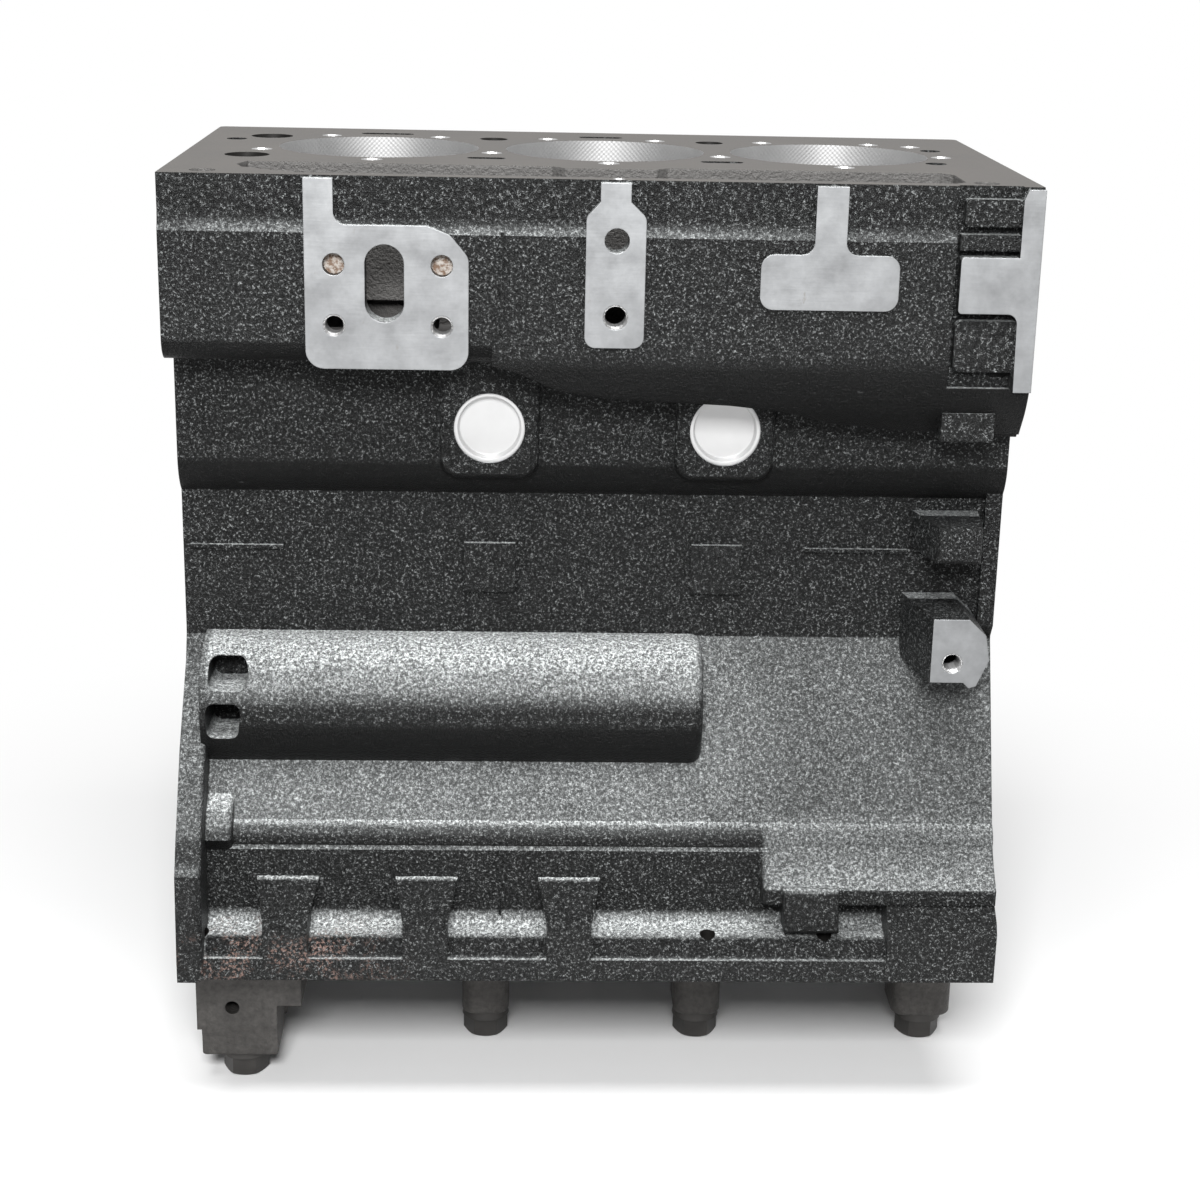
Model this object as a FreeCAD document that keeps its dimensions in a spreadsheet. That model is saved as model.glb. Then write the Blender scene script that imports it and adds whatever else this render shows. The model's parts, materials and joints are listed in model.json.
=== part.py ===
# Three-cylinder in-line engine block, built as one machined casting with its bearing caps, bolts and plugs.
# Millimetres. The crankshaft axis is the X axis, the middle cylinder stands on Z, the tappet side faces -Y.
import FreeCAD, Part
import Sketcher
import os

os.makedirs("parts", exist_ok=True)
doc = FreeCAD.newDocument("EngineBlock")
V = FreeCAD.Vector

# ----------------------------------------------------------------------------------------------------
# Sizes. Everything that fits together is named here once.
# ----------------------------------------------------------------------------------------------------
SIZES = {
    "bore_rad": 44,  # cylinder bore radius
    "pitch": 100,  # distance between cylinder axes
    "deck_z": 335,  # head face above the crankshaft axis
    "rail_z": -6,  # sump rail face
    "cap_seat_z": -4,  # seat of the flywheel end cap in the rail
    "left_wall": 31,  # metal beyond the outer bolt column, flywheel end
    "right_wall": 22.5,  # metal beyond the outer bolt column, timing end
    "left_x": "=-1.5 * pitch - left_wall",  # flywheel end face
    "right_x": "=1.5 * pitch + right_wall",  # timing end face
    "length": "=right_x - left_x",  # overall length of the casting
    "strip_y": 112,  # upper wall, tappet side
    "bulge_y": 114,  # tappet chamber wall
    "pad_y": 115,  # machined pads on the tappet side
    "flange_base_y": 109,  # cast ground behind the flange pads
    "rear_y": 82,  # head flange on the manifold side
    "jacket_y": 84,  # jacket wall, tappet side
    "wall_y": 76,  # crankcase wall, both sides
    "skirt_y": 114,  # skirt wall above the rail
    "rim_y": 134,  # rail edge, tappet side
    "rear_skirt_y": 104,  # skirt wall, manifold side
    "rear_rim_y": 112,  # rail edge, manifold side
    "casting_wall": 8,  # wall thickness of the casting
    "deck_thick": 12,  # thickness of the head deck
    "barrel_wall": 7,  # wall of a cylinder barrel
    "barrel_rad": "=bore_rad + barrel_wall",  # outside of a cylinder barrel
    "barrel_foot_z": 190,  # lower end of the barrels
    "jacket_floor_z": 206,  # floor of the water jacket
    "flare_start": 71,  # where the flare deepens towards the timing end
    "flare_z": 133,  # crease where the wall starts to flare out
    "web_x": 50,  # position of the inner main bearings
    "web_thick": 24,  # thickness of an inner bearing web
    "end_web_x": 157,  # position of the end main bearings
    "crank_rad": 37,  # main bearing housing radius
    "cap_half": 68,  # half width of a bearing cap seat
    "cap_thick": 22,  # thickness of an inner bearing cap
    "cap_drop": 61,  # cap foot below the crankshaft axis
    "cap_fit": 0.05,  # side clearance of a cap in its register
    "bolt_y": 50,  # main bearing bolt from the crankshaft axis
    "outer_bolt_y": 87,  # outer bolt of the flywheel end cap
    "bolt_rad": 6,  # bearing bolt shank
    "bolt_gap": 0.05,  # radial clearance of a bolt in its hole
    "bolt_reach": 52,  # bolt length above the cap seat
    "head_rad": 11,  # bolt head flange
    "head_flat": 9,  # half of the width across flats
    "head_tall": 13,  # height of a bolt head
    "flange_tall": 4,  # height of the round flange on a bolt head
    "cam_y": -61,  # camshaft axis from the crankshaft axis
    "cam_z": 98,  # camshaft axis height
    "cam_rad": 20,  # camshaft bearing bore
    "tappet_rad": 9,  # tappet bore
    "tappet_y": -62,  # tappet row
    "tappet_gap": 15,  # tappet from its cylinder axis
    "chamber_front_y": -104,  # pushrod chamber, outer side
    "chamber_back_y": -67,  # pushrod chamber, inner side
    "gallery_y": -78,  # pump drive gallery axis
    "gallery_z": 104,  # pump drive gallery height
    "gallery_rad": 30,  # pump drive gallery outside
    "gallery_end": 44,  # closed end of the pump drive gallery
    "flange_thick": 11,  # flywheel end flange
    "foot_thick": 22.5,  # foot of the flywheel end flange
    "plug_rad": 15,  # core plug radius
    "plug_z": 228,  # core plug height
    "plug_deep": 9,  # depth of a core plug cup
    "plug_wall": 1.6,  # sheet thickness of a core plug
    "plug_fit": 0.03,  # radial clearance of plugs and bushes in their seats
    "plug_dish": 4,  # depth of the dish in a core plug
    "bush_wall": 2,  # wall of the camshaft bush
    "bush_long": 26,  # length of the camshaft bush
    "plug_inset": 1.2,  # core plug edge below its boss
    "plug_boss_y": 88,  # face of a core plug boss
    "head_bolt_rad": 4.6,  # tapped hole for a head bolt
    "water_rad": 9.5,  # large water passage to the head
    "small_water_rad": 6.4,  # water passage between two cylinders
    "pad_hole_rad": 4.4,  # tapped hole in a pad
    "pan_hole_rad": 3.4,  # tapped hole in the sump rail
    "oil_rad": 6,  # main oil gallery
    "oil_y": 50,  # main oil gallery from the crankshaft axis
    "oil_z": 60,  # main oil gallery height
    "cap_wing_y": 101,  # half width of the flywheel end cap
    "pad_drop": 0.8,  # upper end of the pads below the head face
    "run_out": 5,  # how far a through cut runs past the casting
    "overrun": 0.5,  # how far a drill starts clear of the face
}
sheet = doc.addObject("Spreadsheet::Sheet", "Sizes")
for row, (name, amount) in enumerate(SIZES.items(), start=1):
    sheet.set("A%d" % row, name)
    sheet.set("B%d" % row, str(amount))
    sheet.setAlias("B%d" % row, name)
doc.recompute()


def value(name):
    return float(sheet.get(name))


# ----------------------------------------------------------------------------------------------------
# Tools for outlines, solids, rounds and holes. A number may be given plainly or as a formula over the sheet.
# ----------------------------------------------------------------------------------------------------
def formula(text):
    out, word = "", ""
    for letter in text + " ":
        if letter.isalnum() or letter == "_":
            word += letter
            continue
        if word and word[0].isalpha():
            word = "Sizes." + word
        out += word + letter
        word = ""
    return out.strip()


def bind(item, where, amount):
    item.setExpression(where, formula(str(amount)))


def number(amount):
    if not isinstance(amount, str):
        return float(amount)
    total, sign = 0.0, 1.0
    for word in amount.replace("-", " - ").replace("+", " + ").split():
        if word in "+-":
            sign = 1.0 if word == "+" else -1.0
            continue
        parts = word.replace("/", "*/").split("*")
        product = 1.0
        for part in parts:
            upside = part.startswith("/")
            part = part.lstrip("/")
            got = value(part) if part[0].isalpha() else float(part)
            product = product / got if upside else product * got
        total += sign * product
        sign = 1.0
    return total


def datum(body, role):
    return [f for f in body.Origin.OriginFeatures if f.Role == role][0]


def outline(body, role, start, corners=(), circles=()):
    # corners run round the outline; a corner ("via", a, b) is a point that an arc passes through
    sketch = body.newObject("Sketcher::SketchObject", body.Name + "_outline")
    sketch.AttachmentSupport = (datum(body, role), [""])
    sketch.MapMode = "FlatFace"
    bind(sketch, "AttachmentOffset.Base.z", start)
    ends = [c for c in corners if c[0] != "via"]
    rules, ties, arcs = [], [], []
    edges, k = [], 0
    flat = list(corners) + [corners[0]] if corners else []
    while k < len(flat) - 1:
        a = V(number(flat[k][0]), number(flat[k][1]), 0)
        if flat[k + 1][0] == "via":
            m = V(number(flat[k + 1][1]), number(flat[k + 1][2]), 0)
            b = V(number(flat[k + 2][0]), number(flat[k + 2][1]), 0)
            arc = Part.Arc(a, m, b)
            turned = (m - a).cross(b - a).z < 0
            edges.append((sketch.addGeometry(arc, False), 2 if turned else 1))
            across = abs((b - a).y) > abs((b - a).x)
            centre = arc.toShape().Curve.Center
            arcs.append((edges[-1][0], "DistanceX" if across else "DistanceY", centre.x if across else centre.y))
            k += 2
        else:
            b = V(number(flat[k + 1][0]), number(flat[k + 1][1]), 0)
            edges.append((sketch.addGeometry(Part.LineSegment(a, b), False), 1))
            k += 1
    for i, (edge, first) in enumerate(edges):
        following, its_first = edges[(i + 1) % len(edges)]
        rules.append(Sketcher.Constraint("Coincident", edge, 3 - first, following, its_first))
    for (edge, first), corner in zip(edges, ends):
        for kind, amount in zip(("DistanceX", "DistanceY"), corner):
            rules.append(Sketcher.Constraint(kind, -1, 1, edge, first, number(amount)))
            if isinstance(amount, str):
                ties.append((len(rules) - 1, amount))
    for edge, kind, amount in arcs:
        rules.append(Sketcher.Constraint(kind, -1, 1, edge, 3, amount))
    for a, b, radius in circles:
        centre = V(number(a), number(b), 0)
        edge = sketch.addGeometry(Part.Circle(centre, V(0, 0, 1), number(radius)), False)
        for kind, amount in (("DistanceX", a), ("DistanceY", b)):
            rules.append(Sketcher.Constraint(kind, -1, 1, edge, 3, number(amount)))
            if isinstance(amount, str):
                ties.append((len(rules) - 1, amount))
        rules.append(Sketcher.Constraint("Radius", edge, number(radius)))
        if isinstance(radius, str):
            ties.append((len(rules) - 1, radius))
    sketch.addConstraint(rules)
    for index, amount in ties:
        bind(sketch, "Constraints[%d]" % index, amount)
    return sketch


def slab(name, role, start, length, corners=(), circles=(), rounds=()):
    # the outline is swept along +Z for XY_Plane, along -Y for XZ_Plane and along +X for YZ_Plane
    body = doc.addObject("PartDesign::Body", name)
    sketch = outline(body, role, start, corners, circles)
    pad = body.newObject("PartDesign::Pad", name + "_pad")
    pad.Profile = sketch
    bind(pad, "Length", length)
    sketch.Visibility = False
    for radius, pick in rounds:
        doc.recompute()
        before = body.Tip
        named = ["Edge%d" % (i + 1) for i, e in enumerate(before.Shape.Edges) if pick(e)]
        if not named:
            raise ValueError("no edge to round on " + name)
        fillet = body.newObject("PartDesign::Fillet", name + "_round")
        fillet.Base = (before, named)
        bind(fillet, "Radius", radius)
    return body


def along(axis, **near):
    # picks straight edges that run along one axis and lie at the stated x, y or z
    def pick(edge):
        if not isinstance(edge.Curve, Part.Line):
            return False
        if abs(getattr(edge.tangentAt(edge.FirstParameter), axis)) < 0.999:
            return False
        middle = edge.CenterOfMass
        for which, wanted in near.items():
            wanted = wanted if isinstance(wanted, tuple) else (wanted,)
            if not any(abs(getattr(middle, which) - number(w)) < 0.2 for w in wanted):
                return False
        return True

    return pick


def rod(name, axis, start, length, across, up, radius, foot=None):
    # a cylinder, or a cone where a foot radius is given; across and up place its axis
    item = doc.addObject("Part::Cone" if foot is not None else "Part::Cylinder", name)
    if foot is None:
        bind(item, "Radius", radius)
    else:
        bind(item, "Radius1", foot)
        bind(item, "Radius2", radius)
    bind(item, "Height", length)
    turn = {"x": (V(0, 1, 0), 90), "y": (V(1, 0, 0), 90), "z": (V(0, 0, 1), 0)}[axis]
    item.Placement = FreeCAD.Placement(V(0, 0, 0), FreeCAD.Rotation(*turn))
    seat = {"x": (start, across, up), "y": (across, start, up), "z": (across, up, start)}[axis]
    for letter, amount in zip("xyz", seat):
        bind(item, "Placement.Base." + letter, amount)
    return item


def box(name, x, y, z, wide, deep, tall):
    item = doc.addObject("Part::Box", name)
    for prop, amount in (("Length", wide), ("Width", deep), ("Height", tall)):
        bind(item, prop, amount)
    for letter, amount in zip("xyz", (x, y, z)):
        bind(item, "Placement.Base." + letter, amount)
    return item


def joined(name, items):
    fuse = doc.addObject("Part::MultiFuse", name)
    fuse.Shapes = items
    return fuse


def less(name, base, tool):
    cut = doc.addObject("Part::Cut", name)
    cut.Base = base
    cut.Tool = tool
    return cut


def shared(name, first, second):
    common = doc.addObject("Part::MultiCommon", name)
    common.Shapes = [first, second]
    return common


cylinders = ["-pitch", "0", "pitch"]
front_plugs = (-49.3, 50.3)
mountings = (-118, 62)
webs = ["-web_x", "web_x"]

# ----------------------------------------------------------------------------------------------------
# Outside of the casting: the long sections of the wall and the skirt.
# ----------------------------------------------------------------------------------------------------
solid = []
solid.append(slab("head_section", "YZ_Plane", "left_x", "right_x - left_x", [
    ("-strip_y", "deck_z"), ("-strip_y", 321), ("via", -112.6, 316.5), ("-bulge_y", 312.5), ("-bulge_y", 270),
    ("via", -111.5, 262.6), (-104.5, 259.5), ("-jacket_y + 4", 256), (60, 256), ("wall_y", 262),
    ("wall_y", 300), ("rear_y", 306), ("rear_y", "deck_z"),
], rounds=[(3, along("z", y="rear_y"))]))
solid.append(slab("wall_section", "YZ_Plane", "left_x", "right_x - left_x", [
    ("-jacket_y", 262), ("-jacket_y", 213), ("via", -82, 204.5), ("-wall_y", 197), ("-wall_y", "flare_z"),
    (-108, 58), ("via", -112.2, 53), (-112.6, 48), ("-skirt_y", 46.5), ("-skirt_y", 20),
    ("via", -116.2, 14.6), (-121, 12.4), ("via", -128.5, 9.8), (-132, 4), ("-rim_y", 4), ("-rim_y", "rail_z"),
    ("rear_rim_y", "rail_z"), ("rear_rim_y", 4), ("rear_skirt_y", 14), ("rear_skirt_y", 52),
    ("via", 84, 88), ("wall_y", 130), ("wall_y", 262),
]))

# the wall under the pads grows deeper towards the timing end
overhang_side = slab("overhang_side", "XZ_Plane", "wall_y - 1", "bulge_y - wall_y + 1", [
    (-48, 268), (-48, 259.5), (-37, 256.5), (-20, 249), (0, 246), (50, 243.5), (72, 241), (92, 235.5),
    (125, 232), ("right_x", 231), ("right_x", 268),
])
overhang_end = slab("overhang_end", "YZ_Plane", -48, "right_x + 48", [
    ("-wall_y + 1", 272), ("-bulge_y", 272), ("-bulge_y", 266), ("via", -112.5, 254), (-103, 236), (-97, 228),
    ("-wall_y + 1", 228),
])
solid.append(shared("overhang", overhang_side, overhang_end))

# ----------------------------------------------------------------------------------------------------
# Pads on the tappet side, machined to one plane.
# ----------------------------------------------------------------------------------------------------
pads = [
    slab("cover_pad", "XZ_Plane", 100, "pad_y - 100", [
        (-123, "deck_z - pad_drop"), (-123, 258), (-57.5, 258), (-57.5, 303.5), (-65, 312.5), (-74, 316),
        (-111.2, 316), (-111.2, "deck_z - pad_drop"),
    ], rounds=[(7.5, along("y", z=258)), (5, along("y", x=-111.2, z=316)),
               (6, along("y", x=(-65, -57.5), z=(312.5, 303.5)))]),
    slab("mount_pad", "XZ_Plane", 100, "pad_y - 100", [
        (-5.3, "deck_z - pad_drop"), (-5.3, 326.6), (-10.8, 320.5), (-10.8, 268), (13.2, 268), (13.2, 320.5),
        (6.9, 326.6), (6.9, "deck_z - pad_drop"),
    ], rounds=[(4.5, along("y", z=268)), (4, along("y", z=320.5))]),
    slab("bracket_pad", "XZ_Plane", 100, "pad_y - 100", [
        (80.8, "deck_z - pad_drop"), (80.8, 307), (59.6, 307), (59.6, 284.6), (115.6, 284.6), (115.6, 307),
        (93.6, 307), (93.6, "deck_z - pad_drop"),
    ], rounds=[(5.5, along("y", x=(59.6, 115.6))), (5, along("y", x=(80.8, 93.6), z=307))]),
    slab("flange_pad", "XZ_Plane", 100, "pad_y - 100", [
        (165.6, "deck_z - pad_drop"), (163.8, "deck_z - 5"), (163.8, 307), (140.2, 307), (140.2, 284.2),
        (164.4, 284.2),
        (165, 252), ("right_x", 252), ("right_x", "deck_z - pad_drop"),
    ], rounds=[(4, along("y", x=164.4, z=284.2)), (1.5, along("y", x=140.2))]),
]
ground = box("flange_ground", 138.2, "-pad_y - 5", 253, 26, "pad_y + 5 - flange_base_y", 90)
panels = [
    slab("upper_panel", "XZ_Plane", 100, 13.4, [(141, 319), (163.8, 319), (163.8, 330), (141, 330)],
         rounds=[(1.5, along("y", x=141))]),
    slab("panel_rib", "XZ_Plane", 100, 13.6, [(139.6, 309.5), (163.8, 309.5), (163.8, 316), (139.6, 316)]),
    slab("lower_panel", "XZ_Plane", 100, 13.2, [(139.8, 260), (165, 260), (165, 281), (139.8, 281)],
         rounds=[(3, along("y", x=139.8))]),
    slab("flange_foot", "YZ_Plane", 156, "right_x - 156", [
        (-76, 262), (-111, 262), (-106, 250), (-95, 229), (-76, 227),
    ]),
    box("foot_block", 138, -108, 229.5, 22, 24, 12),
]

# ----------------------------------------------------------------------------------------------------
# Lower wall: plug bosses, cast squares, parting ridges, lugs, the pump drive gallery and the end flanges.
# ----------------------------------------------------------------------------------------------------
for k, centre in enumerate(front_plugs):
    solid.append(slab("plug_boss_%d" % (k + 1), "XZ_Plane", 76, "plug_boss_y - 76", [
        (centre - 21, "plug_z - 22"), (centre + 21, "plug_z - 22"), (centre + 21, 265), (centre - 21, 265),
    ], rounds=[(8, along("y", z="plug_z - 22")),
               (2.5, lambda e: abs(e.CenterOfMass.y + value("plug_boss_y")) < 0.1)]))
for k, centre in enumerate((-49, 49.5)):
    solid.append(slab("cast_square_%d" % (k + 1), "XZ_Plane", 74, 4.4, [
        (centre - 11, 153), (centre + 11, 153), (centre + 11, 175), (centre - 11, 175),
    ]))
solid.append(box("parting_ridge_1", -178, -78, 171.4, 40, 4, 1.6))
solid.append(box("parting_ridge_2", 88, -78, 172.4, 45, 4, 1.6))
solid.append(box("parting_ridge_3", -44.8, -114.7, 273, 1.2, 4, 41))
solid.append(box("parting_ridge_4", -43.6, -115.1, 16, 1.2, 4, 31))
solid.append(slab("upper_lug", "XY_Plane", 175.5, 16, [(133, -72), (141.2, -105), (159.5, -105), (163, -72)],
                  rounds=[(1.5, lambda e: abs(e.CenterOfMass.y + 105) < 0.2)]))
lug_plan = slab("lower_lug_plan", "XY_Plane", 118, 42, [
    (131, -72), (139.2, "-pad_y"), (164, "-pad_y"), (165.5, -72),
])
lug_face = slab("lower_lug_face", "XZ_Plane", 72, "pad_y - 72", [
    (128, 126), (153.5, 126), (156, 123.5), (159, 124.5), (164, 136), (162, 147), (154.5, 154.2),
    (128, 154.2),
])
solid.append(shared("lower_lug", lug_plan, lug_face))
solid.append(slab("pump_drive_gallery", "YZ_Plane", "left_x + 9", "gallery_end - left_x - 9", circles=[
    ("gallery_y", "gallery_z", "gallery_rad"),
], rounds=[(5, lambda e: abs(e.CenterOfMass.x - number("gallery_end")) < 0.2)]))
solid.append(slab("flywheel_flange", "YZ_Plane", "left_x", "flange_thick", [
    (-60, 156), (-74, 156), (-77, 126), (-107, 90), (-127, 56), (-134, 42), (-137, 4), (-137, "rail_z"),
    (-60, "rail_z"),
], rounds=[(2.5, lambda e: abs(e.CenterOfMass.x - number("left_x + flange_thick")) < 0.2
            and e.CenterOfMass.y < -70)]))
solid.append(slab("timing_flange", "YZ_Plane", 165.4, "right_x - 165.4", [
    (-60, 232), (-80, 232), (-79, 196), (-79.5, 140), (-60, 110),
]))
solid.append(slab("flywheel_flange_foot", "YZ_Plane", "left_x + 8", "foot_thick - 8", [
    (-60, 66), (-104, 68), (-112, 63), (-118, 52), (-114, 46), (-60, 46),
], rounds=[(3, lambda e: abs(e.CenterOfMass.x - number("left_x + foot_thick")) < 0.2
            and e.CenterOfMass.y < -70)]))
pockets = [
    slab("flange_pocket_%d" % (k + 1), "XZ_Plane", 82, 50, corners, rounds=[(4, along("y"))])
    for k, corners in enumerate((
        [(-168.5, 115.5), (-153.5, 115.5), (-151, 122), (-153, 128.5), (-168.5, 128.5)],
        [(-169.5, 94.5), (-156, 94.5), (-154, 110.5), (-169.5, 110.5)],
    ))
]

# ----------------------------------------------------------------------------------------------------
# Sump rail: bolt bosses with sloping tops, the deeper flare and the corner block at the timing end.
# ----------------------------------------------------------------------------------------------------
slope = slab("boss_slope", "YZ_Plane", "left_x", "length", [
    (-100, 34), (-115, 34), (-131.5, 21.5), ("-rim_y", 17), ("-rim_y", "rail_z"), (-100, "rail_z"),
])
bosses = []
for k, centre in enumerate((-135, -75, -13)):
    bosses.append(slab("rail_boss_%d" % (k + 1), "XZ_Plane", 100, "rim_y - 100", [
        (centre - 13.5, 34), (centre - 9.6, 20), (centre - 9.6, "rail_z"), (centre + 9.6, "rail_z"),
        (centre + 9.6, 20), (centre + 13.5, 34),
    ]))
bosses.append(box("corner_boss", 125, "-rim_y", "rail_z", "right_x - 125", "rim_y - 100", 40))
solid.append(shared("rail_bosses", joined("boss_columns", bosses), slope))
solid.append(slab("deep_flare", "YZ_Plane", "flare_start", "right_x - flare_start", [
    (-100, 62), (-107, 60.3), ("via", -115.2, 45), (-126, 34), (-126, 27), (-114, 25), (-100, 25),
], rounds=[(4, lambda e: abs(e.CenterOfMass.x - number("flare_start")) < 0.2
            and e.CenterOfMass.y < -108 and e.CenterOfMass.z > 28)]))
solid.append(slab("flare_step", "XZ_Plane", 109, 20.5, [
    (79, 35.5), (80.5, 14.5), (104.5, 14.5), (103.5, 35.5),
], rounds=[(2, lambda e: abs(e.CenterOfMass.y + 129.5) < 0.1)]))

# ----------------------------------------------------------------------------------------------------
# Manifold side: ribs, mounting pads and the filter pad.
# ----------------------------------------------------------------------------------------------------
for k, x in enumerate(("-1.5 * pitch + 4", "-web_x", "web_x", "1.5 * pitch - 8")):
    solid.append(box("rear_rib_%d" % (k + 1), x + " - 4", "wall_y - 3", 60, 8, 7, 245))
for k, x in enumerate(cylinders):
    solid.append(rod("rear_plug_boss_%d" % (k + 1), "y", 82, 12, x, 262, 20))
for k, x in enumerate(mountings):
    solid.append(slab("mounting_pad_%d" % (k + 1), "XZ_Plane", -96, 24, [
        (x, 150), (x + 56, 150), (x + 56, 206), (x, 206),
    ], rounds=[(7, along("y"))]))
solid.append(slab("filter_pad", "XZ_Plane", -98, 26, [(-28, 150), (28, 150), (28, 200), (-28, 200)],
                  rounds=[(10, along("y"))]))
body_of_metal = joined("casting_outside", solid)

# ----------------------------------------------------------------------------------------------------
# Cores: what the foundry's sand cores leave open inside the casting.
# ----------------------------------------------------------------------------------------------------
barrels = [rod("barrel_%d" % (k + 1), "z", "barrel_foot_z", "deck_z - barrel_foot_z", x, "0", "barrel_rad")
           for k, x in enumerate(cylinders)]
head_bolts = []
for x in cylinders:
    head_bolts += [(x + " - 25", 48), (x + " + 25", 48), (x, -51.5)]
head_bolts += [("-1.5 * pitch", -17.5), ("-0.5 * pitch", -17.5), ("0.5 * pitch", -17.5), ("1.5 * pitch", -4)]
columns = [rod("bolt_column_%d" % (k + 1), "z", "jacket_floor_z - 2", "deck_z - jacket_floor_z", x, y, 9.5)
           for k, (x, y) in enumerate(head_bolts)]
jacket_space = slab("jacket_space", "XY_Plane", "jacket_floor_z", "deck_z - deck_thick - jacket_floor_z", [
    (-166, -53), (158, -53), (158, 67), (-166, 67),
], rounds=[(14, along("z"))])
jacket_core = less("jacket_core", jacket_space, joined("jacket_islands", barrels + columns))

chamber_top = slab("chamber_top", "XY_Plane", 268, 80, [
    (-150, "chamber_back_y"), (-153.5, -78), (-150, -88), (-127, "chamber_front_y"), (138, "chamber_front_y"),
    (143, -99), (143, -72), (138, "chamber_back_y"), (24, "chamber_back_y"), (19, -73), (-19, -73),
    (-24, "chamber_back_y"),
])
chamber_parts = [chamber_top]
for k, x in enumerate(cylinders):
    chamber_parts.append(box("pushrod_well_%d" % (k + 1), x + " - 29", -77, 198, 58, 19, 80))
    for side in (-1, 1):
        at = x + (" + tappet_gap" if side > 0 else " - tappet_gap")
        tappet = 2 * k + (side + 3) // 2
        chamber_parts.append(rod("tappet_bore_%d" % tappet, "z", 150, 60, at, "tappet_y", "tappet_rad"))
chamber_core = joined("pushrod_chamber_core", chamber_parts)

tappet_guides = [rod("tappet_guide_%d" % (2 * k + j + 1), "z", 160, 40, x + gap, "tappet_y", "tappet_rad + 5")
                 for k, x in enumerate(cylinders) for j, gap in enumerate((" - tappet_gap", " + tappet_gap"))]
bay_ends = (
    ("-end_web_x + 15", "-web_x - web_thick / 2"),
    ("-web_x + web_thick / 2", "web_x - web_thick / 2"),
    ("web_x + web_thick / 2", "end_web_x - 19"),
)
bays = []
for k, (start, end) in enumerate(bay_ends):
    bays.append(slab("bay_%d" % (k + 1), "YZ_Plane", start, "(%s) - (%s)" % (end, start), [
        ("-wall_y + casting_wall", 190), ("-wall_y + casting_wall", "flare_z - 1.5"), (-99.8, 57), (-104.4, 46),
        ("-skirt_y + casting_wall", 44), ("-skirt_y + casting_wall", "rail_z - 4"),
        ("rear_skirt_y - casting_wall", "rail_z - 4"), ("rear_skirt_y - casting_wall", 52), ("via", 76, 90),
        ("wall_y - casting_wall", 131), ("wall_y - casting_wall", 190),
    ]))
gallery_ends = (bay_ends[0], (bay_ends[1][0], "gallery_end - casting_wall"))
gallery_space = [
    rod("gallery_space_%d" % (k + 1), "x", start, "(%s) - (%s)" % (end, start), "gallery_y", "gallery_z",
        "gallery_rad - casting_wall")
    for k, (start, end) in enumerate(gallery_ends)
]
crankcase_core = less("crankcase_core", joined("crankcase_space", bays + gallery_space),
                      joined("bay_islands", barrels + tappet_guides))

hollow = less("casting_hollow", less("casting_without_jacket", body_of_metal, jacket_core), crankcase_core)
trimmed = less("casting_trimmed", hollow, joined("outer_trims", [ground] + pockets))
raw = less("raw_casting", joined("casting_with_pads", [trimmed] + pads + panels), chamber_core)

# ----------------------------------------------------------------------------------------------------
# Machining: bores, bearing line, registers, tapped holes and passages.
# ----------------------------------------------------------------------------------------------------
cuts = []
for k, x in enumerate(cylinders):
    cuts.append(rod("bore_%d" % (k + 1), "z", "barrel_foot_z - 5", "deck_z - barrel_foot_z + 10", x, "0", "bore_rad"))
cuts.append(rod("main_bearing_line", "x", "left_x - run_out", "length + 2 * run_out", "0", "0", "crank_rad"))
cuts.append(rod("camshaft_line", "x", "left_x - run_out", "length + 2 * run_out", "cam_y", "cam_z", "cam_rad"))
cuts.append(rod("oil_gallery", "x", "left_x - run_out", "length + 2 * run_out", "oil_y", "oil_z", "oil_rad"))
cuts.append(box("cap_register", "left_x - run_out", "-cap_half", -40, "length + 2 * run_out", "2 * cap_half", 40))
cuts.append(box("wide_cap_seat", "left_x - run_out", "-cap_wing_y - cap_fit", "rail_z - 5", "-142 - left_x + 5",
                "2 * cap_wing_y + 2 * cap_fit", "cap_seat_z - rail_z + 5"))


def drilled(name, axis, face, across, up, radius, deep, way):
    # a hole sunk from a face; way is the drill's direction along the axis, 1 or -1
    outward, inward = ("-", "+") if way > 0 else ("+", "-")
    ends = ["%s %s overrun" % (face, outward), "%s %s %s" % (face, inward, deep)]
    low, high = ends if way > 0 else reversed(ends)
    return rod(name, axis, high if axis == "y" else low, "%s + overrun" % deep, across, up, radius)


part_bored = less("block_bored", raw, joined("boring", cuts))

cuts = []
for k, (x, y) in enumerate(head_bolts):
    cuts.append(drilled("head_bolt_hole_%d" % (k + 1), "z", "deck_z", x, y, "head_bolt_rad", 72, -1))
for k, (x, y) in enumerate(((-151.8, 40), (-153.6, -41))):
    cuts.append(drilled("water_passage_%d" % (k + 1), "z", "deck_z", x, y, "water_rad", 20, -1))
for k, x in enumerate(("-0.5 * pitch", "0.5 * pitch")):
    cuts.append(drilled("water_drilling_%d" % (k + 1), "z", "deck_z", x, 43.5, "small_water_rad", 20, -1))
for k, (x, y) in enumerate(((143.5, 41), (150, 24), (143, -30.5), (-166.2, 25))):
    cuts.append(drilled("deck_hole_%d" % (k + 1), "z", "deck_z", x, y, "head_bolt_rad", 25, -1))
for k, (x, y) in enumerate(((-164, -101.5), (151, -101.5))):
    cuts.append(drilled("deck_corner_hole_%d" % (k + 1), "z", "deck_z", x, y, 5.2, 30, -1))
cuts.append(drilled("deck_lip_hole", "z", "deck_z", 2, -108.6, 2.6, 20, -1))
for k, (x, y, half) in enumerate(((-100, 59.5, 9), (0, 59.5, 7), (-52, -39.5, 5), (49, -39.5, 6))):
    cuts.append(slab("water_slot_%d" % (k + 1), "XY_Plane", "deck_z - deck_thick - 4", "deck_thick + 8", [
        (x - half, y - 3.2), (x + half, y - 3.2), ("via", x + half + 3.2, y), (x + half, y + 3.2),
        (x - half, y + 3.2), ("via", x - half - 3.2, y),
    ]))

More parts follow.
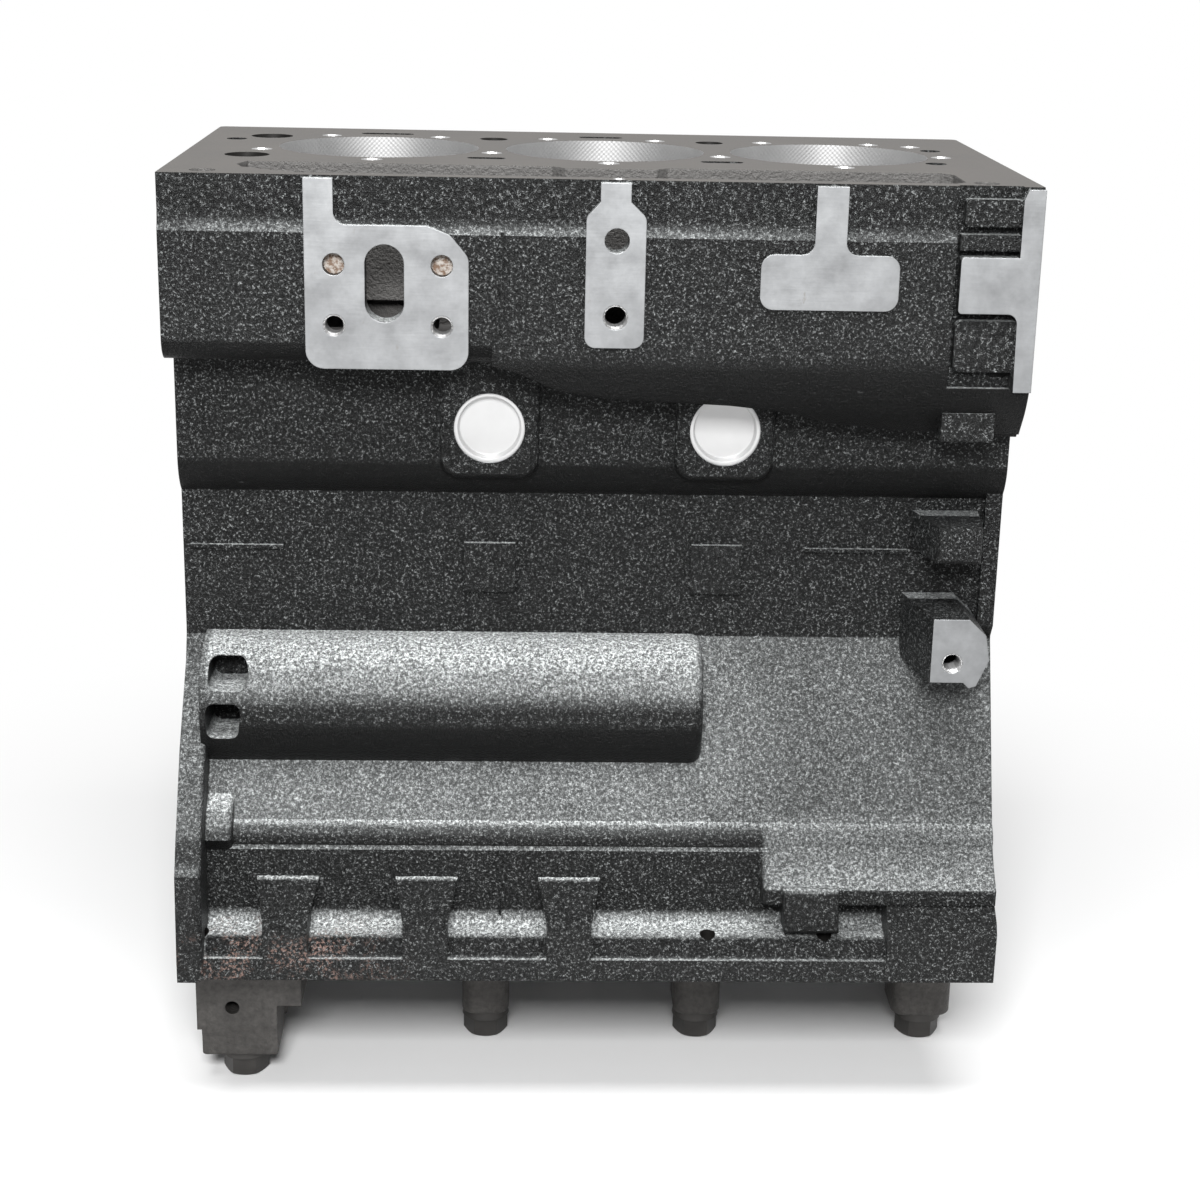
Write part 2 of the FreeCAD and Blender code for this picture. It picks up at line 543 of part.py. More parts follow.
part_decked = less("block_decked", part_bored, joined("deck_drilling", cuts))

cuts = []
for k, (x, z) in enumerate(((-111.4, 300.2), (-68.2, 300.2), (-111.4, 275.7), (-68.2, 275.7))):
    cuts.append(drilled("cover_hole_%d" % (k + 1), "y", "-pad_y", x, z, "pad_hole_rad", 16 if k > 1 else 5, 1))
for k, z in enumerate((311.3, 280.5)):
    cuts.append(drilled("mount_hole_%d" % (k + 1), "y", "-pad_y", 1.6, z, "pad_hole_rad + 0.6", 13, 1))
cuts.append(drilled("lug_hole", "y", "-pad_y", 148.3, 134.6, "pad_hole_rad", 26, 1))
cuts.append(slab("cover_slot", "XZ_Plane", 95, 25, [
    (-99, 285), (-99, 300.6), ("via", -91.15, 308.45), (-83.3, 300.6), (-83.3, 285), ("via", -91.15, 277.15),
]))

for k, centre in enumerate(front_plugs):
    cuts.append(drilled("plug_seat_%d" % (k + 1), "y", "-plug_boss_y", centre, "plug_z", "plug_rad", 30, 1))
    cuts.append(rod("plug_throat_%d" % (k + 1), "y", -40, 30, centre, "plug_z", "plug_rad - 4"))
for k, x in enumerate(cylinders):
    cuts.append(rod("rear_plug_seat_%d" % (k + 1), "y", 90, 26, x, 262, "plug_rad"))

part_sided = less("block_sided", part_decked, joined("side_drilling", cuts))

cuts = []
for k, x in enumerate(webs):
    for j, y in enumerate(("-bolt_y", "bolt_y")):
        cuts.append(rod("bearing_bolt_hole_%d_%d" % (k + 1, j + 1), "z", -20, 78, x, y, "bolt_rad + bolt_gap"))
for k, x in enumerate(("-end_web_x - 2", "end_web_x")):
    for j, y in enumerate(("-bolt_y", "bolt_y")):
        cuts.append(rod("end_bolt_hole_%d_%d" % (k + 1, j + 1), "z", -20, 78, x, y, "bolt_rad + bolt_gap"))
for j, y in enumerate(("-outer_bolt_y", "outer_bolt_y")):
    cuts.append(rod("outer_bolt_hole_%d" % (j + 1), "z", -20, 78, "-end_web_x - 2", y, "bolt_rad + bolt_gap"))

pan_front = (-172, -135, -75, -13, 47.6, 98.6, 160)
for k, x in enumerate(pan_front):
    cuts.append(drilled("rail_hole_front_%d" % (k + 1), "z", "rail_z", x, -124, "pan_hole_rad", 20, 1))
for k, x in enumerate(pan_front):
    cuts.append(drilled("rail_hole_rear_%d" % (k + 1), "z", "rail_z", x, 106, "pan_hole_rad", 16, 1))

for k, x in enumerate(mountings):
    for j, (dx, dz) in enumerate(((9, 9), (47, 9), (9, 47), (47, 47))):
        cuts.append(rod("mounting_hole_%d_%d" % (k + 1, j + 1), "y", 97, 23, x + dx, 150 + dz, 5.1))
cuts.append(rod("filter_port", "y", 99, 40, 0, 175, 8))
for j, dx in enumerate((-19, 19)):
    cuts.append(rod("filter_hole_%d" % (j + 1), "y", 99, 20, dx, 175, 4.4))

part_railed = less("block_railed", part_sided, joined("rail_drilling", cuts))

cuts = []
timing_holes = (
    (-100, 322), (60, 322), (-66, 240), (66, 240), (-66, 165), (66, 150), (-92, 50), (88, 60), (-120, 6), (96, 6),
)
for k, (y, z) in enumerate(timing_holes):
    cuts.append(drilled("timing_hole_%d" % (k + 1), "x", "right_x", y, z, 4.25, 22, -1))
flywheel_holes = (
    (-100, 318), (66, 318), (-66, 230), (66, 230), (-66, 150), (66, 140), (-104, 60), (90, 50),
)
for k, (y, z) in enumerate(flywheel_holes):
    cuts.append(drilled("flywheel_hole_%d" % (k + 1), "x", "left_x", y, z, 5.1, 22, 1))
block = less("cylinder_block", part_railed, joined("end_drilling", cuts))
block.Label = "cylinder_block"
kept = [block]

# ----------------------------------------------------------------------------------------------------
# Main bearing caps. Each sits in its register on the bearing line; the flywheel end cap also spans the rail.
# ----------------------------------------------------------------------------------------------------
crown = [
    ("-bolt_y + 12", "-cap_drop"), ("-bolt_y + 12", -50), ("via", 0, -58), ("bolt_y - 12", -50),
    ("bolt_y - 12", "-cap_drop"),
]
bridge = [("crank_rad", 0), ("via", 0, "-crank_rad"), ("-crank_rad", 0), ("-cap_half + cap_fit", 0)]
narrow_left = [("-cap_half + cap_fit", -12), ("-bolt_y - 12", -20), ("-bolt_y - 12", "-cap_drop")]
narrow_right = [
    ("bolt_y + 12", "-cap_drop"), ("bolt_y + 12", -20), ("cap_half - cap_fit", -12), ("cap_half - cap_fit", 0),
]
wide_left = [
    ("-cap_half + cap_fit", "cap_seat_z"), ("-cap_wing_y", "cap_seat_z"), ("-cap_wing_y", -46), (-100, -52),
    (-100, "-cap_drop"), (-75, "-cap_drop"), (-72, -52), (-64, -52), ("-bolt_y - 12", "-cap_drop"),
]
wide_right = [
    ("bolt_y + 12", "-cap_drop"), (64, -52), (72, -52), (75, "-cap_drop"), (100, "-cap_drop"), (100, -52),
    ("cap_wing_y", -46), ("cap_wing_y", "cap_seat_z"), ("cap_half - cap_fit", "cap_seat_z"),
    ("cap_half - cap_fit", 0),
]
caps = (
    ("main_bearing_cap_1", "-end_web_x - 20", 34, "-end_web_x - 2", wide_left, wide_right),
    ("main_bearing_cap_2", "-web_x - cap_thick / 2", "cap_thick", "-web_x", narrow_left, narrow_right),
    ("main_bearing_cap_3", "web_x - cap_thick / 2", "cap_thick", "web_x", narrow_left, narrow_right),
    ("main_bearing_cap_4", "end_web_x - 14", 28, "end_web_x", narrow_left, narrow_right),
)
for name, start, thick, bolt_x, left_side, right_side in caps:
    wide = left_side is wide_left
    blank = slab(name + "_blank", "YZ_Plane", start, thick, bridge + left_side + crown + right_side,
                 rounds=([] if wide else [(7, along("z", y=("-bolt_y - 12", "bolt_y + 12")))])
                 + [(1.6, along("y", z=("-cap_drop", -50, -52)))])
    rows = ["-bolt_y", "bolt_y"] + (["-outer_bolt_y", "outer_bolt_y"] if wide else [])
    holes = [
        rod("%s_hole_%d" % (name, j + 1), "z", -80, 90, bolt_x, y, "bolt_rad + bolt_gap")
        for j, y in enumerate(rows)
    ]
    if wide:
        blank = joined(name + "_body", [
            blank,
            box(name + "_step", "-end_web_x - 22", "-cap_wing_y", -48, 4, 31, 41.9),
            box(name + "_foot", "-end_web_x + 12", "-cap_wing_y", -36, 13, 31, 29.9),
        ])
        holes.append(rod(name + "_side_hole", "y", -88, 22, -163, -37, 3.2))
    cap = less(name, blank, joined(name + "_drilling", holes))
    cap.Label = name
    kept.append(cap)
    for j, y in enumerate(rows):
        tag = "%s_bolt_%d" % (name.replace("main_bearing_cap", "bearing"), j + 1)
        hexagon = doc.addObject("Part::Prism", tag + "_hexagon")
        hexagon.Polygon = 6
        bind(hexagon, "Circumradius", "head_flat * 1.1547")
        bind(hexagon, "Height", "head_tall")
        for letter, amount in zip("xyz", (bolt_x, y, "-cap_drop - head_tall")):
            bind(hexagon, "Placement.Base." + letter, amount)
        top = "-cap_drop - head_tall"
        seat = "-cap_drop - flange_tall"
        bevel = rod(tag + "_bevel", "z", top, "head_tall", bolt_x, y, "head_flat + 20", "head_flat - 0.4")
        parts = [
            shared(tag + "_head", hexagon, bevel),
            rod(tag + "_flange", "z", seat, "flange_tall", bolt_x, y, "head_rad - 0.8", "head_rad"),
            rod(tag + "_shank", "z", "-cap_drop - 1", "cap_drop + bolt_reach - 1", bolt_x, y, "bolt_rad"),
            rod(tag + "_point", "z", "bolt_reach - 2", 2, bolt_x, y, "bolt_rad - 1.4", "bolt_rad"),
        ]
        bolt = joined(tag, parts)
        bolt.Label = tag
        kept.append(bolt)


# ----------------------------------------------------------------------------------------------------
# Plugs and the camshaft bush, each turned from the size of its seat less the fit.
# ----------------------------------------------------------------------------------------------------
def turned(name, corners, turn, seat):
    # a profile of (radius, height) spun about its own axis, then laid along turn and set at seat
    body = doc.addObject("PartDesign::Body", name + "_turning")
    sketch = outline(body, "XZ_Plane", "0", corners)
    spin = body.newObject("PartDesign::Revolution", name + "_spin")
    spin.Profile = sketch
    spin.ReferenceAxis = (sketch, ["V_Axis"])
    spin.Angle = 360
    sketch.Visibility = False
    body.Placement = FreeCAD.Placement(V(0, 0, 0), FreeCAD.Rotation(*turn))
    for letter, amount in zip("xyz", seat):
        bind(body, "Placement.Base." + letter, amount)
    body.Label = name
    kept.append(body)
    return body


def cup(radius):
    outside = radius + " - plug_fit"
    inside = outside + " - plug_wall"
    return [
        (0, 0), (outside + " - 1", 0), (outside, 1), (outside, "plug_deep"), (inside, "plug_deep"),
        (inside + " - 0.6", "plug_deep - plug_dish"), (0, "plug_deep - plug_dish"),
    ]


to_front = (V(1, 0, 0), 90)
to_rear = (V(1, 0, 0), -90)
to_left = (V(0, 1, 0), -90)
to_right = (V(0, 1, 0), 90)
for k, centre in enumerate(front_plugs):
    seat = (centre, "-plug_boss_y + plug_inset + plug_deep", "plug_z")
    turned("core_plug_front_%d" % (k + 1), cup("plug_rad"), to_front, seat)
for k, x in enumerate(cylinders):
    turned("core_plug_rear_%d" % (k + 1), cup("plug_rad"), to_rear, (x, "82 - plug_inset - plug_deep", 262))
turned("camshaft_plug", cup("cam_rad"), to_left, ("left_x + plug_inset + plug_deep", "cam_y", "cam_z"))
turned("camshaft_bush", [
    ("cam_rad - bush_wall", 0), ("cam_rad - plug_fit - 0.6", 0), ("cam_rad - plug_fit", 0.6),
    ("cam_rad - plug_fit", "bush_long"), ("cam_rad - bush_wall", "bush_long"),
], to_right, ("right_x - bush_long - 1", "cam_y", "cam_z"))
for tag, turn, x in (("left", to_left, "left_x + 12"), ("right", to_right, "right_x - 12")):
    turned("oil_gallery_plug_" + tag, [
        (0, 0), ("oil_rad - plug_fit", 0), ("oil_rad - plug_fit", 11), (3, 11), (3, 6), (0, 5),
    ], turn, (x, "oil_y", "oil_z"))

# ----------------------------------------------------------------------------------------------------
# Check every object, then write one file for each piece.
# ----------------------------------------------------------------------------------------------------
doc.recompute()
for item in doc.Objects:
    if "Invalid" in item.State or "Error" in item.State:
        raise ValueError(item.Name + " did not build: " + item.getStatusString())
for item in kept:
    shape = item.Shape
    if shape.isNull() or not shape.isValid() or len(shape.Solids) != 1:
        raise ValueError(item.Label + " is not one sound solid")
    shape.exportStep("parts/" + item.Label + ".step")
    print(item.Label, round(shape.Volume), shape.BoundBox)
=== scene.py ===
import json
import math

import bmesh
import bpy
from mathutils import Matrix, Vector


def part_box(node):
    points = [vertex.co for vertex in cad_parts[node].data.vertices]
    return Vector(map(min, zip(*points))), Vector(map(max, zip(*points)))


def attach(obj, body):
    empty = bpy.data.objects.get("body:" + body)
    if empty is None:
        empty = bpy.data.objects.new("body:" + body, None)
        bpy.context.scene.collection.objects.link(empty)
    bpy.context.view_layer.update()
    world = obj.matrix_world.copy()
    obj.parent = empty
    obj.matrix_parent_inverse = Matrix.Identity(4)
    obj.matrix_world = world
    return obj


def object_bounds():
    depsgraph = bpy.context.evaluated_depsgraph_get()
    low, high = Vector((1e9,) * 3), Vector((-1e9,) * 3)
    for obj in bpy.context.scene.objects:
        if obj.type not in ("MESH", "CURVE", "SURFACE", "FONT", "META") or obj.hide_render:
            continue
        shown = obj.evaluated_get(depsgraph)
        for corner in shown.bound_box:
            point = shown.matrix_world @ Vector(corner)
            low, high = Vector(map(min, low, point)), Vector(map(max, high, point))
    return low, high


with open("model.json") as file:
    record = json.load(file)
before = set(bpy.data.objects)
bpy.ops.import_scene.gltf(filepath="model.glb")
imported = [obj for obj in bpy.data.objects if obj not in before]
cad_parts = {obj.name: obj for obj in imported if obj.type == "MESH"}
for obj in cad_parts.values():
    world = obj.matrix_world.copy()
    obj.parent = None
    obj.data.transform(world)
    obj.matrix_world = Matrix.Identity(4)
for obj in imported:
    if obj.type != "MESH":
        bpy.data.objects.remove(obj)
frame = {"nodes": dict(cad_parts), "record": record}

CAD_BOX = [list(corner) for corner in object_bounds()]

# The casting: grey iron poured in sand, painted black by spraying, then milled, bored and tapped. Its finish
# changes from face to face, so each face of the one casting is sorted by where a cutter has touched it.
BLOCK = frame["nodes"]["cylinder_block"]
LOW, HIGH = (Vector(corner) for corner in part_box("cylinder_block"))
MOUNTS = {m["name"]: m for m in frame["record"]["mounts"]}
OPENINGS = {o["name"]: o["box_m"] for o in frame["record"]["physics"]["openings"]}
BORE_RADIUS = MOUNTS["cylinder_bore_1"]["dims"]["r_mm"] / 1000
CHAMBER = OPENINGS["pushrod_chamber"]
BORES = [MOUNTS["cylinder_bore_%d" % n]["pos_m"][0] for n in (1, 2, 3)]
BELOW_THE_BORES = 0.02
BORE_FOOT = HIGH.z - MOUNTS["cylinder_bore_1"]["dims"]["length_mm"] / 1000 - BELOW_THE_BORES
CRANK_RADIUS = MOUNTS["main_bearing_line"]["dims"]["r_mm"] / 1000
PAD_Y = MOUNTS["mount_pad_bolts"]["pos_m"][1]


class Socket:
    """An output of a shader node; sums and products of two of them add their own Math nodes."""

    def __init__(self, finish, plug):
        self.finish, self.plug = finish, plug

    def math(self, operation, *others):
        inputs = dict(enumerate((self,) + others))
        return self.finish.node("ShaderNodeMath", {"operation": operation}, inputs)

    def __add__(self, other):
        return self.math("ADD", other)

    def __sub__(self, other):
        return self.math("SUBTRACT", other)

    def __rsub__(self, other):
        return self.finish.node("ShaderNodeMath", {"operation": "SUBTRACT"}, {0: other, 1: self})

    def __mul__(self, other):
        return self.math("MULTIPLY", other)

    def __truediv__(self, other):
        return self.math("DIVIDE", other)

    __radd__ = __add__
    __rmul__ = __mul__

    def above(self, edge, soft):
        """0 below edge - soft, 1 above edge + soft."""
        spread = {1: edge - soft, 2: edge + soft}
        return self.finish.node("ShaderNodeMapRange", {"interpolation_type": "SMOOTHSTEP"}, {0: self, **spread})


def between(value, edges, soft):
    """1 where a socket lies between two edges, 0 outside them."""
    low, high = edges
    return value.above(low, soft) * (1 - value.above(high, soft))


class Finish:
    """A surface finish: one material with its shader, and the calls that add nodes to it."""

    def __init__(self, name, kind=bpy.data.materials, shader="Principled BSDF"):
        self.material = kind.new(name)
        self.material.use_nodes = True
        self.tree = self.material.node_tree
        self.shader = self.tree.nodes[shader]
        self.place = self.node("ShaderNodeTexCoord", {}, {}, "Object")

    def node(self, kind, settings, inputs, output=0):
        made = self.tree.nodes.new(kind)
        for name, setting in settings.items():
            if name == "stops":
                for stop, (position, colour) in zip(made.color_ramp.elements, setting):
                    stop.position, stop.color = position, colour
            else:
                setattr(made, name, setting)
        for name, value in inputs.items():
            self.plug(made.inputs[name], value)
        return Socket(self, made.outputs[output])

    def plug(self, socket, value):
        if isinstance(value, Socket):
            self.tree.links.new(value.plug, socket)
        else:
            socket.default_value = value

    def wear(self, **inputs):
        for name, value in inputs.items():
            self.plug(self.shader.inputs[name.replace("_", " ")], value)

    def cover(self, *beginnings):
        """Puts this finish on every piece of the frame whose name begins so."""
        for name, piece in frame["nodes"].items():
            if name.startswith(beginnings):
                piece.data.materials.clear()
                piece.data.materials.append(self.material)

    def noise(self, scale, detail=2.0, rough=0.5, where=None):
        inputs = {"Vector": where or self.place, "Scale": scale, "Detail": detail, "Roughness": rough}
        return self.node("ShaderNodeTexNoise", {}, inputs)

    def stretched(self, x, y, z):
        return self.node("ShaderNodeVectorMath", {"operation": "MULTIPLY"}, {0: self.place, 1: (x, y, z)})

    def axis(self, letter):
        return self.node("ShaderNodeSeparateXYZ", {}, {0: self.place}, letter)

    def blend(self, amount, first, second):
        colours = {"Factor": amount, 6: first, 7: second}
        return self.node("ShaderNodeMix", {"data_type": "RGBA"}, colours, 2)

    def bump(self, height, distance, strength=1.0, under=None):
        inputs = {"Height": height, "Distance": distance, "Strength": strength}
        if under:
            inputs["Normal"] = under
        return self.node("ShaderNodeBump", {}, inputs)

    def soft_edges(self, radius):
        return self.node("ShaderNodeBevel", {"samples": 4}, {"Radius": radius})

    def facing_up(self):
        normal = self.node("ShaderNodeNewGeometry", {}, {}, "Normal")
        return self.node("ShaderNodeSeparateXYZ", {}, {0: normal}, "Z")


def grey(level, warm=0.0):
    return (level * (1 + warm), level, level * (1 - warm), 1)


# Black paint, sprayed over the grain that the sand leaves. The grain's small bright specks are painted glints, and
# a grain-patterned painted mid-tone lifts every face that doesn't look down, leaving the undersides in painted
# shade.
paint = Finish("black_paint_on_sand_casting")
grains = paint.noise(800, 2, 0.5)
fine_grains = paint.noise(1900, 2, 0.5)
patches = paint.noise(22, 4, 0.6)
scuffs = paint.noise(300, 4, 0.7, paint.stretched(0.25, 1, 1.6)).above(0.72, 0.03)
tilt = paint.facing_up()
mixed = 0.5 * grains + 0.5 * fine_grains
painted_glint_specks = mixed.above(0.62, 0.09) * tilt.above(-0.08, 0.08)
half_lit = mixed.above(0.5, 0.14) * tilt.above(-0.08, 0.08)
glints = mixed.above(0.53, 0.14)
x, y, z = paint.axis("X"), paint.axis("Y"), paint.axis("Z")

# A painted highlight: what slopes upwards is painted lighter and glinting, a painted sheen for light falling from
# above, and what looks most nearly up gets a painted glare as well. As painted shade both are kept off the boss
# fronts, the rail and the lugs and mostly off the turn of the wall; the sheen is painted onto the flare at the
# timing end, and lies weaker towards the timing end and on the edge of the flywheel flange.
BOSS_FRONTS, RAIL_FRONT, RAIL_BACK = (0.0165, 0.0335), (0.0045, 0.0115), -0.1155
LUG_SPAN, LUG_HEIGHTS, LUG_ROOTS = (0.124, 0.166), (0.118, 0.195), -0.085
WALL_TURN, FLARE_FOOT = (0.0465, 0.0565), (0.034, 0.061)
FLARE_END, FLANGE_EDGE = 0.0715, -0.1695
flange_on = x.above(FLANGE_EDGE, 0.0004)
rail = between(z, BOSS_FRONTS, 0.0008) + between(z, RAIL_FRONT, 0.0009)
rail = rail * (1 - y.above(RAIL_BACK, 0.0005)) * flange_on
lugs = between(x, LUG_SPAN, 0.001) * between(z, LUG_HEIGHTS, 0.001) * (1 - y.above(LUG_ROOTS, 0.001))
timing_half = x.above(FLARE_END, 0.001)
turn_of_wall = between(z, WALL_TURN, 0.002) * (1 - timing_half)
flare = between(z, FLARE_FOOT, 0.0015) * timing_half
ends = 0.4 * x.above(0.06, 0.03) + 0.5 * (1 - flange_on)
unshaded_share = (1 - rail) * (1 - lugs) * (1 - 0.75 * turn_of_wall) * (1 - ends)
slope = tilt.above(0.33, 0.22)
painted_sheen = (slope + flare * (1 - slope)) * unshaded_share
glare = tilt.above(0.71, 0.15) * unshaded_share
# This tone holds painted light: the glint specks, a mid-tone that leaves undersides in painted shade, and the
# painted sheen and glare of upward slopes. The scuffs are real wear.
tone = 0.003 + 0.016 * half_lit + painted_glint_specks * (0.06 + 0.32 * patches) + 0.06 * scuffs
tone = tone + painted_sheen * (0.01 + 0.12 * patches + 0.28 * glints) + glare * (0.02 + 0.33 * glints)
colour = paint.blend(tone, (0, 0, 0, 1), (0.96, 1, 1, 1))

# Rust has come through at the flywheel end of the rail.
RUST_END, RUST_TOP = -0.1, 0.012
rust = paint.noise(700, 4, 0.7).above(0.56, 0.05) * paint.noise(60, 2).above(0.48, 0.06)
rust = rust * (1 - x.above(RUST_END, 0.025)) * (1 - z.above(RUST_TOP, 0.006)) * tilt.above(-0.05, 0.1)
paint.wear(
    Base_Color=paint.blend(rust * 0.7, colour, (0.3, 0.2, 0.17, 1)),
    Roughness=0.26 + 0.1 * patches + 0.3 * rust,
    Specular_IOR_Level=0.14,
    Normal=paint.bump(mixed, 0.0018, 1.0, paint.soft_edges(0.0012)),
)

# The bare skin left by the sand cores in the pushrod chamber, the water jacket and the crankcase bays.
raw = Finish("unpainted_sand_casting")
grains = raw.noise(700, 3, 0.6)
stain = raw.noise(30, 4, 0.6)
raw.wear(
    Base_Color=raw.blend(stain, raw.blend(grains, grey(0.02, 0.06), grey(0.11, 0.04)), grey(0.13, 0.03)),
    Roughness=0.6 + 0.2 * grains,
    Metallic=0.2,
    Normal=raw.bump(grains, 0.001, 1.0, raw.soft_edges(0.0012)),
)

# Dried silt packed in the two upper holes of the cover pad.
silt = Finish("dried_coolant_in_a_hole")
cake = silt.noise(500, 4, 0.7)
silt.wear(
    Base_Color=silt.blend(cake.above(0.5, 0.1), (0.2, 0.13, 0.09, 1), (0.5, 0.46, 0.42, 1)),
    Roughness=0.8 + 0.1 * cake,
    Normal=silt.bump(cake, 0.0008),
)

# The pads, the rail's joint face and both ends, milled flat and since smeared and clouded by handling.
milled = Finish("milled_pad")
strokes = milled.noise(160, 3, 0.6, milled.stretched(0.6, 1, 9))
clouds = milled.noise(60, 5, 0.7)
smears = milled.noise(110, 4, 0.75, milled.stretched(1, 1, 0.5)).above(0.69, 0.04)
milled.wear(
    Base_Color=milled.blend(
        smears * 0.6, milled.blend(clouds, grey(0.16, -0.02), grey(0.4, -0.02)), grey(0.2, 0.06)),
    Metallic=0.85,
    Roughness=0.3 + 0.22 * clouds + 0.08 * strokes,
    Normal=milled.bump(strokes, 0.00005, 0.5, milled.soft_edges(0.0005)),
)

# The head face, cut across in fine strokes and given a dark brownish grey.
ground_face = Finish("milled_head_face")
strokes = ground_face.noise(240, 3, 0.6, ground_face.stretched(6, 0.5, 1))
clouds = ground_face.noise(26, 4, 0.62)
ground_face.wear(
    Base_Color=ground_face.blend(clouds, grey(0.04, 0.12), grey(0.12, 0.08)),
    Metallic=0.7,
    Roughness=0.42 + 0.2 * clouds,
    Normal=ground_face.bump(strokes, 0.00012, 0.5, ground_face.soft_edges(0.0005)),
)

# The bores, honed up and down in two crossing spirals.
HONED_UP, HONED_DOWN = 0.0021, 0.0023
honed = Finish("honed_bore")
along = honed.axis("Z")
pitch = MOUNTS["cylinder_bore_3"]["pos_m"][0] - MOUNTS["cylinder_bore_2"]["pos_m"][0]
across = honed.axis("X") / pitch
across = (across - across.math("ROUND")) * pitch
turn = honed.axis("Y").math("ARCTAN2", across) * BORE_RADIUS
rising = ((turn + along) * (2 * math.pi / HONED_UP)).math("SINE")
falling = ((turn - along) * (2 * math.pi / HONED_DOWN)).math("SINE")
strokes = (rising + falling) * honed.noise(900, 2)
honed.wear(
    Base_Color=honed.blend(honed.noise(40, 3), grey(0.4), grey(0.55)),
    Metallic=1.0,
    Roughness=0.42 + 0.12 * honed.noise(60, 3),
    Normal=honed.bump(strokes, 0.00003, 0.6),
)

# The walls of drilled holes: oily iron coloured near black, a painted shade for the dark inside of each hole.
drilled = Finish("drilled_hole_with_painted_shade")
drilled.wear(
    Base_Color=drilled.blend(drilled.noise(200, 3), grey(0.006, 0.1), grey(0.024, 0.06)),
    Metallic=0.5,
    Roughness=0.4 + 0.12 * drilled.noise(160),
    Normal=drilled.bump(drilled.noise(900), 0.0001, 0.5),
)

FINISHES = {
    "paint": paint, "raw": raw, "silt": silt, "milled": milled, "head_face": ground_face, "honed": honed,
    "drilled": drilled,
}


def patches_of(mesh):
    """Groups of faces that meet without a sharp edge."""
    corner = {}
    tokens = []
    for v in mesh.vertices:
        tokens.append(corner.setdefault(tuple(round(x, 6) for x in v.co), len(corner)))
    sides = {}
    for f in mesh.polygons:
        ring = [tokens[v] for v in f.vertices]
        for a, b in zip(ring, ring[1:] + ring[:1]):
            sides.setdefault((min(a, b), max(a, b)), []).append(f.index)
    mates = [[] for _ in mesh.polygons]
    for pair in sides.values():
        if len(pair) == 2:
            a, b = pair
            if mesh.polygons[a].normal.dot(mesh.polygons[b].normal) > 0.9:
                mates[a].append(b)
                mates[b].append(a)
    seen = set()
    for f in mesh.polygons:
        if f.index in seen:
            continue
        patch, queue = [], [f.index]
        seen.add(f.index)
        while queue:
            i = queue.pop()
            patch.append(mesh.polygons[i])
            for j in mates[i]:
                if j not in seen:
                    seen.add(j)
                    queue.append(j)
        yield patch


class Hole:
    """The wall of a round hole: its axis, its centre line, its radius and its two ends."""

    def __init__(self, axis, centre, radius, ends):
        self.axis, self.centre, self.radius = axis, centre, radius
        low, high = (box[axis] for box in (LOW, HIGH))
        at_low = ends[0] - low < high - ends[1]
        self.mouth, self.foot = ends if at_low else reversed(ends)
        self.depth = ends[1] - ends[0]

    def ends_at(self, face):
        """True where a face is part of the drill point at the foot of the hole."""
        off = face.center - self.centre
        off[self.axis] = 0
        return off.length < self.radius and abs(face.center[self.axis] - self.foot) < 0.004


def round_wall(patch, mesh):
    """The hole whose wall this patch is, all the way round, or None."""
    area = sum(f.area for f in patch)
    if area == 0:
        return None
    if sum((f.normal * f.area for f in patch), Vector()).length > 0.06 * area:
        return None
    for i in range(3):
        if sum(f.area for f in patch if abs(f.normal[i]) > 0.03) > 0.03 * area:
            continue
        points = [mesh.vertices[v].co for f in patch for v in f.vertices]
        middle = Vector((min(p[k] for p in points) + max(p[k] for p in points)) / 2 for k in range(3))
        middle[i] = 0
        flat = [Vector(0 if k == i else p[k] for k in range(3)) - middle for p in points]
        reach = sum(p.length for p in flat) / len(flat)
        if max(abs(p.length - reach) for p in flat) > 0.02 * reach + 0.0001:
            return None
        face = max(patch, key=lambda f: f.area)
        out = Vector(0 if k == i else face.center[k] for k in range(3)) - middle
        ends = min(p[i] for p in points), max(p[i] for p in points)
        return Hole(i, middle, reach, ends) if out.dot(face.normal) < 0 else None
    return None


def inside(point, box, spare=0.0):
    return all(box[0][k] - spare < point[k] < box[1][k] + spare for k in range(3))


def level(face, k, at, sign):
    """True for a flat face that looks along one axis and stands at one height on it."""
    return face.normal[k] * sign > 0.99 and abs(face.center[k] - at) < 0.00005


SILTED, SILTED_ABOVE = PAD_Y + 0.005, 0.29
CHAMBER_FRONT, CHAMBER_BACK = CHAMBER[0][1] - 0.004, CHAMBER[1][1]
MOUTH_ABOVE, BACK_WALL_ABOVE = 0.2675, 0.1987
SAND_ROUND_A_CORE = 0.0085


def finish_of(face):
    """The finish of one face that isn't the wall of a round hole."""
    c = face.center
    upright = abs(face.normal.z) < 0.05
    for x in BORES:
        if upright and c.z > BORE_FOOT and abs(math.hypot(c.x - x, c.y) - BORE_RADIUS) < 0.0006:
            return "honed"
    if level(face, 2, HIGH.z, 1):
        return "head_face"
    if level(face, 1, PAD_Y, -1):
        return "milled"
    if level(face, 1, SILTED, -1) and c.x < 0 and c.z > SILTED_ABOVE:
        return "silt"
    if level(face, 0, LOW.x, -1) or level(face, 0, HIGH.x, 1) or level(face, 2, LOW.z, -1):
        return "milled"
    if math.hypot(c.y, c.z) < CRANK_RADIUS + 0.0005:
        return "milled"
    if c.z > MOUTH_ABOVE and CHAMBER_FRONT < c.y < CHAMBER_BACK + 0.014:
        return "raw"
    if c.z > BACK_WALL_ABOVE and CHAMBER_BACK - 0.0011 < c.y < CHAMBER_BACK + 0.02:
        return "raw"
    for name, room in OPENINGS.items():
        if inside(c, room, SAND_ROUND_A_CORE) and not name.startswith(("side", "pushrod")):
            return "raw"
    return "paint"


DRILLED, BORED = 0.0125, 0.03


def finish_in(hole, face):
    """The finish of any face: hole is the round hole whose wall it belongs to, or None."""
    if hole and hole.radius < DRILLED:
        return "drilled"
    if hole and hole.radius < BORED:
        return "milled"
    return finish_of(face)


